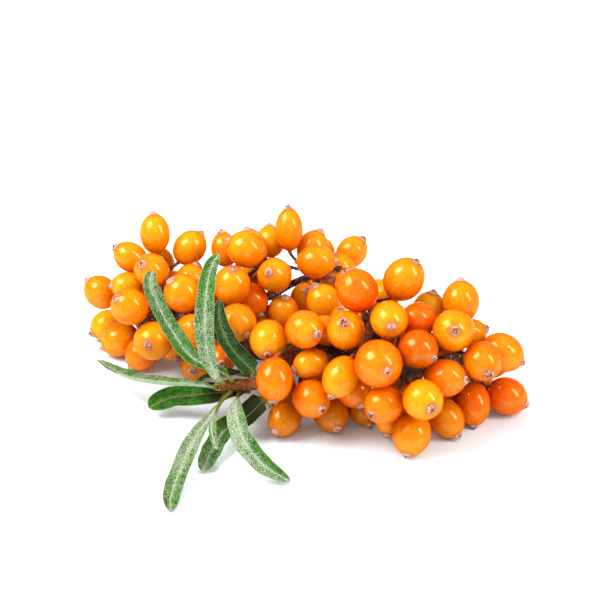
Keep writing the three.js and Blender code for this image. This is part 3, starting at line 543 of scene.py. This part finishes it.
def leaf(name, upper, under=under_side, stalk=0.02, foot=0.6, blunt=0.3, broad=1.0, fold=0.25, wave=0.4,
         dust=(0.0, 0.0), lean=0.0, dark=0.0):
    """One leaf, as one closed skin over both sides of its blade and its stalk, with a material for each side.

    The stalk is a share of its length, and its foot is at least so many millimetres wide to each side. Its
    end is plain at blunt 0 and blunt at 1, and so many times broader than the frame's. The fold lifts its
    edges by a share of the width, and the wave by millimetres. Dust is added to the cover of scales, so much
    at the foot and so much at the end, and the lean adds some to one side. A share from the foot is darkened
    with painted shade.
    """
    chance = random.Random(name)
    seed = somewhere(chance, 30)
    ribs, sides = blade_of(name)
    rib_line = smooth(ribs, LEAF_STEPS)
    side_line = smooth(sides, LEAF_STEPS)
    places = [*range(-LEAF_HALF, LEAF_HALF + 1), *range(LEAF_HALF - 1, -LEAF_HALF, -1)]
    rows, across, edge, stalks, dusts, darks = [], [], [], [], [], []
    for step in range(LEAF_STEPS + 1):
        share = step / LEAF_STEPS
        along = (rib_line[min(step + 1, LEAF_STEPS)] - rib_line[max(step - 1, 0)]).normalized()
        side = side_line[step] - along * side_line[step].dot(along)
        plain_end = math.sqrt(max(0.0, 1 - past(share, *PLAIN_END) ** 2))
        blunt_end = max(0.0, 1 - past(share, *BLUNT_END) ** 4) ** BLUNT_FULLNESS
        least = foot * MM * min(1.0, past(share, stalk, FOOT_OPENS))
        width = max(side.length, least) if share < 0.5 else side.length
        if share > BLUNT_END[0]:
            shoulder = side_line[round(BLUNT_END[0] * LEAF_STEPS)].length
            width = width * plain_end * (1 - blunt) + shoulder * blunt_end * blunt
        width *= 1 + (broad - 1) * share
        wander = EDGE_WANDER * noise.noise(seed + Vector((share * WANDERS_ALONG, 0, 0)))
        width = max(width * (1 + wander), LEAST_HALF_WIDTH)
        side.normalize()
        up = along.cross(side)
        blade = min(1.0, max(0.0, (share - stalk) / BLADE_OPENS + 0.1))
        row = []
        for index, place in enumerate(places):
            part = place / LEAF_HALF
            face = 1 if index <= 2 * LEAF_HALF else -1
            spot = Vector((share * WAVES_ALONG, part * WAVES_ACROSS, 0))
            wavy = noise.noise(spot + seed) * abs(part) ** WAVE_CURVE
            groove = math.exp(-(part * width / GROOVE_WIDTH) ** 2)
            rib = (GROOVE_DEPTH if face > 0 else KEEL_HEIGHT) * groove
            thick = face * LEAF_THICKNESS / 2 * (1 - EDGE_THINNING * abs(part) ** 5) - rib
            lift = fold * width * abs(part) ** FOLD_CURVE + wave * MM * wavy + thick
            flat = side * (part * width) + up * lift
            angle = math.pi / 2 * part
            radius = LEAF_STALK_RADIUS * (LEAF_STALK_FOOT - LEAF_STALK_TAPER * min(1.0, share * 6))
            round_stalk = side * (math.sin(angle) * radius) + up * (math.cos(angle) * radius * face)
            row.append(rib_line[step] + round_stalk.lerp(flat, blade))
            across.append(abs(part) * width / MM)
            edge.append((1 - abs(part)) * width / MM + (1 - blade) * FAR_FROM_EDGE)
            stalks.append((1 - blade) ** STALK_COLOUR_CURVE)
            dusts.append(dust[0] * (1 - share) + dust[1] * share + lean * part)
            # Painted shade: darkest over the given share from the foot, fading out over a further share
            # beyond it.
            darks.append(PAINTED_SHADE_MOST * min(1.0, max(0.0, 1 + (dark - share) / PAINTED_SHADE_FADES)) if dark else 0.0)
        rows.append(row)
    blade_skin = skin(rows, 0, across=across, edge=edge, stalk=stalks, dust=dusts, dark=darks)
    turns = len(places)
    for index, face in enumerate(blade_skin["faces"]):
        if len(face) == 4 and 2 * LEAF_HALF <= face[0] % turns:
            blade_skin["finishes"][index] = 1
    made = piece(name + "_blade", name, [blade_skin], [upper, under])


leaf("leaf_left_tall", upper_side, foot=1.0, blunt=1.0, dust=(-0.2, 0.08), lean=-0.04)
leaf("leaf_middle_tall", upper_side, blunt=0.6, dust=(0.28, -0.12))
leaf("leaf_shaded", shaded_side, foot=2.0, blunt=0.3)
leaf("leaf_left_level", upper_side, foot=0.9, blunt=0.0, broad=1.2, fold=0.4, dust=(0.1, 0.0))
leaf("leaf_left_low", bright_side, foot=1.2, blunt=1.0, broad=1.2, wave=0.6, dust=(0.05, 0.0), dark=0.35)
leaf("leaf_front_long", upper_side, stalk=0.12, blunt=1.0, broad=1.3, dust=(0.38, -0.05))
leaf("leaf_small_curled", upper_side, upper_side, stalk=0.5, foot=0.0, blunt=0.5, wave=0.2, dust=(0.05, 0.05))
leaf("leaf_front_under", upper_side, foot=2.6, blunt=0.8, broad=1.15, wave=0.5, dust=(-0.22, 0.05), dark=0.4)
leaf("leaf_front_right", upper_side, stalk=0.15, blunt=0.2, broad=1.2, dust=(0.4, -0.05), lean=-0.2)
leaf("leaf_behind_shoot", shaded_side, foot=1.5, wave=0.5, dust=(-0.15, -0.05), dark=0.5)


# ------------------------------------------------------------------ berries
# Each spur carries a few berries on short stalks. A berry is an egg-shaped bag of thin skin, full of clear
# orange juice, and the dry rest of its flower sits on its tip like a crumbled button.
BERRY_SIDES = 7
TIP_RING_RADIUS = 0.62
TIP_RING_DEPTH = 0.25
TIP_STEEPNESS = 0.39
TIP_NARROWING = 0.1
BERRY_UNEVENNESS = 0.015
BERRY_DENTS = 1.3
BERRY_TURNS = 44
BERRY_STEPS = 32
FLOWER_SUNK = 0.3 * MM
FLOWER_PALENESS = (-0.5, 0.15)
FLOWER_TURNS = 30
FLOWER_STEPS = 12
STALK_SUNK = 0.2 * MM
STALK_BEND = 1.5 * MM
STALK_ROOT = 0.6
STALK_TURNS = 10
STALK_STEPS = 20
SPUR_LENGTH = SPUR_HEIGHT + 1.0 * MM
SPUR_SUNK = 0.9 * MM
SPUR_RING_WAVES = 13
SPUR_TOP = 0.6
SPUR_KNOB = 0.7 * MM
SPUR_KNOB_SHARE = 0.12
SPUR_TURNS = 16
SPUR_STEPS = 12

# Millimetres: the least and most radius of a flower's rest and the heights on it, the radius of a stalk and
# how much its ends flare, and the radius of a spur, what it loses towards its top and how high its rings are.
FLOWER_RADIUS = (0.85, 1.15)
FOOT_HEIGHT, CUP_HEIGHT, RIM_HEIGHT, STYLE_HEIGHT = 0.03, 0.42, 0.12, 0.4
FLAKE_HEIGHT, CRUMB_HEIGHT = 0.22, 0.14
STALK_MIDDLE, STALK_FLARE = 0.34, 0.28
SPUR_RADIUS, SPUR_TAPER, SPUR_RINGS = 1.1, 0.3, 0.1

# Shares of the radius of a flower's rest: how deep its lobes and nicks are, where its rim lies, and how wide
# its rim and its style are. Below them is how closely its lobes, nicks, flakes and crumbs follow each other.
LOBE_DEPTH, NICK_DEPTH = 0.25, 0.16
RIM_PLACE, RIM_WIDTH, STYLE_WIDTH = 0.5, 0.2, 0.12
LOBES, NICKS, FLAKES, CRUMBS = 1.8, 5, 4.2, 10

# Berry skin: a thin waxy coat, stained orange, over clear juice. Light wanders through the juice and comes
# out redder, and the stain is deepest where the coat is seen aslant. The shine is soft. The colour runs from
# clear yellow to red-orange, redder towards the stalk, with tiny rusty scales all over and a blush and pale
# flecks round the tip.
berry_skin, skin_tree = new_material("waxy_berry_skin")
skin_place = add(skin_tree, "ShaderNodeTexCoord")["Object"]
ripeness = add(skin_tree, "ShaderNodeAttribute", attribute_name="ripeness")["Fac"]
dullness = add(skin_tree, "ShaderNodeAttribute", attribute_name="dullness")["Fac"]
height = add(skin_tree, "ShaderNodeAttribute", attribute_name="height")["Fac"]
from_tip = add(skin_tree, "ShaderNodeAttribute", attribute_name="from_tip")["Fac"]
dapple = add(skin_tree, "ShaderNodeTexNoise", {
    "Vector": skin_place, "Scale": 1 / (2.6 * MM), "Detail": 6.0, "Roughness": 0.68})["Fac"]
dappled = add(skin_tree, "ShaderNodeMath", {0: dapple, 1: 0.6, 2: ripeness},
              operation="MULTIPLY_ADD")["Value"]
skin_grain = add(skin_tree, "ShaderNodeTexNoise", {
    "Vector": skin_place, "Scale": 1 / (0.5 * MM), "Detail": 4.0, "Roughness": 0.7})["Fac"]
grained = add(skin_tree, "ShaderNodeMapRange", {
    "Value": skin_grain, "From Min": 0.3, "From Max": 0.7, "To Min": -0.13, "To Max": 0.13})["Result"]
uneven = add(skin_tree, "ShaderNodeMath", {0: dappled, 1: grained}, operation="ADD")["Value"]
redness = add(skin_tree, "ShaderNodeMath", {0: height, 1: -0.1, 2: uneven}, operation="MULTIPLY_ADD")["Value"]
skin_ground = add(skin_tree, "ShaderNodeValToRGB", {"Fac": redness}, stops=[
    (0.1, "#dfbe18"), (0.35, "#dfa710"), (0.55, "#df900a"), (0.8, "#df6c06"), (1.0, "#dd4a04")])["Color"]
mottle = add(skin_tree, "ShaderNodeTexNoise", {
    "Vector": skin_place, "Scale": 1 / (0.6 * MM), "Detail": 5.0, "Roughness": 0.75,
    "Distortion": 0.8})["Fac"]
faded = add(skin_tree, "ShaderNodeMapRange", {
    "Value": mottle, "From Min": 0.35, "From Max": 0.65, "To Min": 0.4, "To Max": 1.0})["Result"]
# Dull mottled brown: partly a berry's own dullness, partly painted shade on berries that lie in shade.
dull_and_shade_share = add(skin_tree, "ShaderNodeMath", {0: dullness, 1: faded}, operation="MULTIPLY")["Value"]
dulled_and_shaded = add(skin_tree, "ShaderNodeMix", {0: dull_and_shade_share, 6: skin_ground, 7: linear("#a0600a")},
             data_type="RGBA")[2]
rust = add(skin_tree, "ShaderNodeTexVoronoi", {"Vector": skin_place, "Scale": 1 / (0.75 * MM)})
rust_chance = add(skin_tree, "ShaderNodeSeparateColor", {"Color": rust["Color"]})["Red"]
rust_reach = add(skin_tree, "ShaderNodeMapRange", {
    "Value": rust_chance, "From Min": 0.4, "From Max": 1.0, "To Min": 0.0, "To Max": 0.22})["Result"]
rust_mark = add(skin_tree, "ShaderNodeMath", {0: rust_reach, 1: rust["Distance"]},
                operation="GREATER_THAN")["Value"]
rust_share = add(skin_tree, "ShaderNodeMath", {0: rust_mark, 1: 0.7}, operation="MULTIPLY")["Value"]
rusted = add(skin_tree, "ShaderNodeMix", {0: rust_share, 6: dulled_and_shaded, 7: linear("#6c2c0a")},
             data_type="RGBA")[2]
ragged = add(skin_tree, "ShaderNodeMath", {0: skin_grain, 1: -2.2, 2: from_tip},
             operation="MULTIPLY_ADD")["Value"]
blush = add(skin_tree, "ShaderNodeMapRange", {
    "Value": from_tip, "From Min": 0.9, "From Max": 2.2, "To Min": 0.8, "To Max": 0.0})["Result"]
blushed = add(skin_tree, "ShaderNodeMix", {0: blush, 6: rusted, 7: linear("#e07030")}, data_type="RGBA")[2]
fleck = add(skin_tree, "ShaderNodeMapRange", {
    "Value": ragged, "From Min": 0.0, "From Max": 0.35, "To Min": 0.75, "To Max": 0.0})["Result"]
flecked = add(skin_tree, "ShaderNodeMix", {0: fleck, 6: blushed, 7: linear("#d09070")}, data_type="RGBA")[2]
skin_relief = add(skin_tree, "ShaderNodeMath", {0: rust_mark, 1: 0.5, 2: skin_grain},
                  operation="MULTIPLY_ADD")["Value"]
skin_bump = add(skin_tree, "ShaderNodeBump", {
    "Height": skin_relief, "Strength": 0.35, "Distance": 0.06 * MM})["Normal"]
skin_gloss = add(skin_tree, "ShaderNodeMapRange", {
    "Value": dapple, "From Min": 0.3, "From Max": 0.7, "To Min": 0.11, "To Max": 0.21})["Result"]
skin_surface = add(skin_tree, "ShaderNodeBsdfPrincipled", {
    "Base Color": flecked, "Roughness": skin_gloss, "IOR": 1.62, "Normal": skin_bump,
    "Subsurface Weight": 1.0, "Subsurface Radius": (1.0, 0.36, 0.08), "Subsurface Scale": 2.6 * MM,
    "Coat Weight": 1.0, "Coat Roughness": 0.06, "Coat IOR": 1.06,
    "Coat Tint": (1.0, 0.72, 0.36, 1.0)})["BSDF"]
add(skin_tree, "ShaderNodeOutputMaterial", {"Surface": skin_surface})

# The rest of the flower: dry tissue, crumbled and matt. Its pinkish beige flakes are about 0.3 mm across,
# with brown between them.
dry_flower, flower_tree = new_material("dry_flower_rest")
flower_place = add(flower_tree, "ShaderNodeTexCoord")["Object"]
outwards = add(flower_tree, "ShaderNodeAttribute", attribute_name="outwards")["Fac"]
flower_grain = add(flower_tree, "ShaderNodeTexNoise", {
    "Vector": flower_place, "Scale": 1 / (0.45 * MM), "Detail": 4.0, "Roughness": 0.75})["Fac"]
flower_flakes = add(flower_tree, "ShaderNodeTexVoronoi", {"Vector": flower_place, "Scale": 1 / (0.34 * MM)})
flower_chance = add(flower_tree, "ShaderNodeSeparateColor", {"Color": flower_flakes["Color"]})["Red"]
flower_mix = add(flower_tree, "ShaderNodeMath", {0: flower_chance, 1: 0.45, 2: flower_grain},
                 operation="MULTIPLY_ADD")["Value"]
flower_light = add(flower_tree, "ShaderNodeMath", {0: outwards, 1: 0.35, 2: flower_mix},
                   operation="MULTIPLY_ADD")["Value"]
flower_colour = add(flower_tree, "ShaderNodeValToRGB", {"Fac": flower_light}, stops=[
    (0.5, "#2c120a"), (0.66, "#84442a"), (0.82, "#bc7450"), (1.0, "#d09e88")])["Color"]
flower_bump = add(flower_tree, "ShaderNodeBump", {
    "Height": flower_mix, "Strength": 1.0, "Distance": 0.12 * MM})["Normal"]
flower_surface = add(flower_tree, "ShaderNodeBsdfPrincipled", {
    "Base Color": flower_colour, "Roughness": 0.75, "Normal": flower_bump})["BSDF"]
add(flower_tree, "ShaderNodeOutputMaterial", {"Surface": flower_surface})

# Stalk skin: thin, dry and satin, olive brown, and orange where it runs into the berry.
stalk_skin, stalk_tree = new_material("dry_stalk_skin")
stalk_place = add(stalk_tree, "ShaderNodeTexCoord")["Object"]
stalk_share = add(stalk_tree, "ShaderNodeAttribute", attribute_name="outwards")["Fac"]
stalk_patches = add(stalk_tree, "ShaderNodeTexNoise", {
    "Vector": stalk_place, "Scale": 1 / (0.6 * MM), "Detail": 4.0})["Fac"]
stalk_mix = add(stalk_tree, "ShaderNodeMath", {0: stalk_share, 1: 0.5, 2: stalk_patches},
                operation="MULTIPLY_ADD")["Value"]
stalk_colour = add(stalk_tree, "ShaderNodeValToRGB", {"Fac": stalk_mix}, stops=[
    (0.3, "#2c1410"), (0.7, "#4a281c"), (1.0, "#965018")])["Color"]
stalk_surface = add(stalk_tree, "ShaderNodeBsdfPrincipled", {
    "Base Color": stalk_colour, "Roughness": 0.55})["BSDF"]
add(stalk_tree, "ShaderNodeOutputMaterial", {"Surface": stalk_surface})

BERRY_FINISHES = [berry_skin, dry_flower, stalk_skin, grey_bark]


def berries_of(name):
    """The berries of a cluster from left to right: middle, way its tip points, half width and half length."""
    mesh = read(name)
    found = []
    for vertex, middle, radius in poles(mesh, BERRY_SIDES):
        depth = (vertex.co - middle).length
        if depth > TIP_STEEPNESS * radius:
            way = (vertex.co - middle).normalized()
            half_long = depth / TIP_RING_DEPTH
            found.append((vertex.co - way * half_long, way, radius / TIP_RING_RADIUS, half_long))
    mesh.free()
    return sorted(found, key=lambda berry: berry[0].x)


def egg(share):
    """A berry's half width at a share of its length, from -1 at the stalk to 1 at the tip."""
    return math.sqrt(max(0.0, 1 - share * share)) * (1 - TIP_NARROWING * max(0.0, share) ** 3)


def berry_rings(middle, way, half_wide, half_long, ripe, dull, chance):
    """The skin of one berry, from its stalk to its tip: an egg, not quite round."""
    seed = somewhere(chance, 40)
    shares = [-math.cos(math.pi * (step + 0.5) / BERRY_STEPS) for step in range(BERRY_STEPS)]
    line = [middle + way * half_long * share for share in shares]
    rows, heights, from_tips = [], [], []
    for share, centre, outs in zip(shares, line, turned_round(line, BERRY_TURNS)):
        row = []
        for out in outs:
            dents = noise.noise(out * BERRY_DENTS + way * share + seed)
            swell = 1 - BERRY_UNEVENNESS + BERRY_UNEVENNESS * dents
            row.append(centre + out * (half_wide * egg(share) * swell))
            heights.append(share)
            from_tips.append((row[-1] - middle - way * half_long).length / MM)
        rows.append(row)
    count = len(heights)
    return skin(rows, 0, ripeness=[ripe] * count, dullness=[dull] * count, height=heights, from_tip=from_tips)


def flower_rings(middle, way, half_wide, half_long, chance):
    """The rest of the flower on a berry's tip: a ragged low cup with a short dry point in it."""
    seed = somewhere(chance, 40)
    reach = chance.uniform(*FLOWER_RADIUS) * MM
    pale = chance.uniform(*FLOWER_PALENESS)
    outs = turned_round([middle, middle + way], FLOWER_TURNS)[0]
    rows, outward = [], []
    for step in range(FLOWER_STEPS + 1):
        share = 1 - step / (FLOWER_STEPS + 0.5)
        row = []
        for out in outs:
            lobes = LOBE_DEPTH * noise.noise(out * LOBES + seed)
            nicks = NICK_DEPTH * noise.noise(out * NICKS + seed)
            radius = reach * share * (1 + lobes + nicks)
            surface = math.sqrt(max(0.0, 1 - (radius / half_wide) ** 2)) * half_long
            flakes = FLAKE_HEIGHT * noise.noise(out * share * FLAKES + seed)
            crumbs = CRUMB_HEIGHT * noise.noise(out * share * CRUMBS + seed)
            cup = CUP_HEIGHT * (1 - share) + RIM_HEIGHT * math.exp(-((share - RIM_PLACE) / RIM_WIDTH) ** 2)
            style = STYLE_HEIGHT * math.exp(-(share / STYLE_WIDTH) ** 2)
            raised = FOOT_HEIGHT + cup + style + (flakes + crumbs) * min(1.0, 3 * (1 - share))
            lift = raised * MM if step else -FLOWER_SUNK
            row.append(middle + way * (surface + lift) + out * radius)
            outward.append(share + pale)
        rows.append(row)
    return skin(rows, 1, outwards=outward)


def stalk_rings(foot, way, berry):
    """A stalk's skin, from inside its spur to the foot of its berry."""
    middle, tip_way, _, half_long = berry
    start = foot + way * SPUR_HEIGHT * STALK_ROOT
    end = middle - tip_way * (half_long - STALK_SUNK)
    bend = middle - tip_way * (half_long + STALK_BEND)
    shares = [step / STALK_STEPS for step in range(STALK_STEPS + 1)]
    line = [start * (1 - share) ** 2 + bend * 2 * share * (1 - share) + end * share * share
            for share in shares]
    rows = []
    for share, centre, outs in zip(shares, line, turned_round(line, STALK_TURNS)):
        width = (STALK_MIDDLE + STALK_FLARE * abs(2 * share - 1) ** 5) * MM
        rows.append([centre + out * width for out in outs])
    return skin(rows, 2, outwards=[share for share in shares for _ in range(STALK_TURNS)])


def spur_rings(foot, way):
    """A spur's bark: a short knobbly peg, ringed where older stalks fell."""
    line = [foot + way * (SPUR_LENGTH * step / SPUR_STEPS - SPUR_SUNK) for step in range(SPUR_STEPS + 1)]
    rows = []
    for step, (centre, outs) in enumerate(zip(line, turned_round(line, SPUR_TURNS))):
        share = step / SPUR_STEPS
        width = (SPUR_RADIUS - SPUR_TAPER * share + SPUR_RINGS * math.sin(share * SPUR_RING_WAVES)) * MM
        if step == SPUR_STEPS:
            width *= SPUR_TOP
        row = []
        for out in outs:
            knobs = SPUR_KNOB_SHARE * noise.noise((centre + out * width) / SPUR_KNOB)
            row.append(centre + out * width * (1 + knobs))
        rows.append(row)
    return skin(rows, 3)


# Most berries are ripe orange, and those at the back are a little paler. Some are still yellow, some are
# deeper orange or red-ripe, and a few have gone dull by a share. The dull share is partly the berries' own
# dullness and partly painted shade: it darkens the low berries by the floor, and front_berries_09 1 and
# back_left_berries_09 0, which lie in shade; the red and deep ripeness of those two is painted shade too.
# Each of those is named by its cluster and its place in it, from the left.
# The front berries' higher ripeness is partly painted shade, as they get more light, and the back ones' lower
# ripeness partly painted light, as they lie in shade.
FRONT_RIPENESS = 0.18
BACK_RIPENESS = 0.14
RIPENESS_SPREAD = 0.03
YELLOW = {("front_berries_02", 0), ("front_berries_04", 1), ("front_berries_05", 0), ("front_berries_07", 0),
          ("front_berries_10", 1), ("side_twig_berries_01", 1), ("left_top_berries_02", 2),
          ("left_top_berries_02", 4)}
# The pale yellow ones lie in shade, and their paleness is partly painted light.
PALE_YELLOW = {("front_berries_14", 0), ("side_twig_berries_01", 0), ("left_top_berries_02", 0),
               ("back_left_berries_01", 0), ("back_right_berries_05", 0), ("back_right_berries_06", 2)}
DEEP = {("front_berries_04", 0), ("front_berries_05", 1), ("front_berries_07", 2), ("front_berries_10", 0),
        ("front_berries_10", 2), ("front_berries_15", 0), ("back_left_berries_01", 2),
        ("back_left_berries_09", 0)}
RED = {("front_berries_05", 3), ("front_berries_09", 1), ("front_berries_09", 2), ("front_berries_13", 1),
       ("front_berries_14", 5), ("side_twig_berries_03", 0), ("back_top_berries_01", 3)}
# Dull shares, partly painted shade.
DULL_AND_PAINTED_SHADE = {("front_berries_03", 0): 0.65, ("front_berries_05", 2): 0.8, ("front_berries_08", 0): 0.8,
        ("front_berries_09", 1): 0.8, ("front_berries_11", 2): 0.35, ("front_berries_13", 0): 0.6,
        ("back_left_berries_09", 0): 0.7}
SHADES = ((-0.1, PALE_YELLOW), (0.04, YELLOW), (0.32, DEEP), (0.4, RED))

for name in clusters:
    spur_foot, spur_way = spurs[name]
    dice = random.Random(name)
    skins = [spur_rings(spur_foot, spur_way)]
    for index, berry in enumerate(berries_of(name)):
        at_back = name.startswith(("back", "left"))
        ripe = dice.gauss(BACK_RIPENESS if at_back else FRONT_RIPENESS, RIPENESS_SPREAD)
        for shade, berries in SHADES:
            if (name, index) in berries:
                ripe = shade
        dull = DULL_AND_PAINTED_SHADE.get((name, index), 0.0)
        skins.append(stalk_rings(spur_foot, spur_way, berry))
        skins.append(berry_rings(*berry, ripe, dull, dice))
        skins.append(flower_rings(*berry, dice))
    made = piece(name.replace("berries", "cluster"), name, skins, BERRY_FINISHES)


# ------------------------------------------------------------------ floor, light and camera
# A plain white floor under two soft boxes, a wide one high on the left and a narrow one on the right, in a
# white room. Shiny skins mirror the room dimmer than it lights them, so that the soft boxes stand out in
# their shine. The camera looks down on the sprig's long side at 30 degrees.
AIM = Vector((-0.5, 15.02, 16.2)) * MM
EYE_DISTANCE = 600 * MM
EYE_ELEVATION = math.radians(30)
PICTURE_WIDTH = 126.8 * MM
NEAREST_SEEN = 0.01
FLOOR_REACH = 3
SOFT_BOX_DISTANCE = 0.7
ROOM_BRIGHTNESS = 1.05
MIRRORED_BRIGHTNESS = 0.5

# Matt white card: smooth and dull, so it takes soft shadows and shows no shine.
white_card, card_tree = new_material("white_card")
card_surface = add(card_tree, "ShaderNodeBsdfPrincipled", {
    "Base Color": linear("#e4eff4"), "Roughness": 0.7, "Specular IOR Level": 0.2})["BSDF"]
add(card_tree, "ShaderNodeOutputMaterial", {"Surface": card_surface})
floor_mesh = bpy.data.meshes.new("floor")
floor_corners = [(FLOOR_REACH * x, FLOOR_REACH * y, 0) for x, y in ((-1, -1), (1, -1), (1, 1), (-1, 1))]
floor_mesh.from_pydata(floor_corners, [], [(0, 1, 2, 3)])
floor_mesh.materials.append(white_card)
floor = bpy.data.objects.new("floor", floor_mesh)
bpy.context.scene.collection.objects.link(floor)

look = Vector((0, math.cos(EYE_ELEVATION), -math.sin(EYE_ELEVATION)))
camera_data = bpy.data.cameras.new("camera")
camera_data.lens = camera_data.sensor_width * EYE_DISTANCE / PICTURE_WIDTH
camera_data.clip_start = NEAREST_SEEN
camera = bpy.data.objects.new("camera", camera_data)
camera.location = AIM - look * EYE_DISTANCE
camera.rotation_euler = look.to_track_quat("-Z", "Y").to_euler()
bpy.context.scene.collection.objects.link(camera)
bpy.context.scene.camera = camera


def soft_box(name, way, wide, high, brightness):
    """A soft box that looks at the sprig from one way: the metres and the brightness of its face."""
    data = bpy.data.lights.new(name, "AREA")
    data.shape = "RECTANGLE"
    data.size = wide
    data.size_y = high
    data.energy = brightness * math.pi * wide * high
    made = bpy.data.objects.new(name, data)
    made.location = AIM + Vector(way).normalized() * SOFT_BOX_DISTANCE
    made.rotation_euler = (AIM - made.location).to_track_quat("-Z", "Y").to_euler()
    bpy.context.scene.collection.objects.link(made)


soft_box("left_soft_box", (-0.61, -0.14, 0.78), 0.4, 0.38, 13.6)
soft_box("right_soft_box", (0.71, -0.33, 0.6), 0.085, 0.5, 22.0)

room = bpy.data.worlds.new("white_room")
bpy.context.scene.world = room
room.use_nodes = True
room.node_tree.nodes.clear()
mirrored = add(room.node_tree, "ShaderNodeLightPath")["Is Glossy Ray"]
brightness = add(room.node_tree, "ShaderNodeMapRange", {
    "Value": mirrored, "To Min": ROOM_BRIGHTNESS, "To Max": MIRRORED_BRIGHTNESS})["Result"]
walls = add(room.node_tree, "ShaderNodeBackground", {
    "Color": (1, 1, 1, 1), "Strength": brightness})["Background"]
add(room.node_tree, "ShaderNodeOutputWorld", {"Surface": walls})

bpy.context.scene.view_settings.view_transform = "Standard"
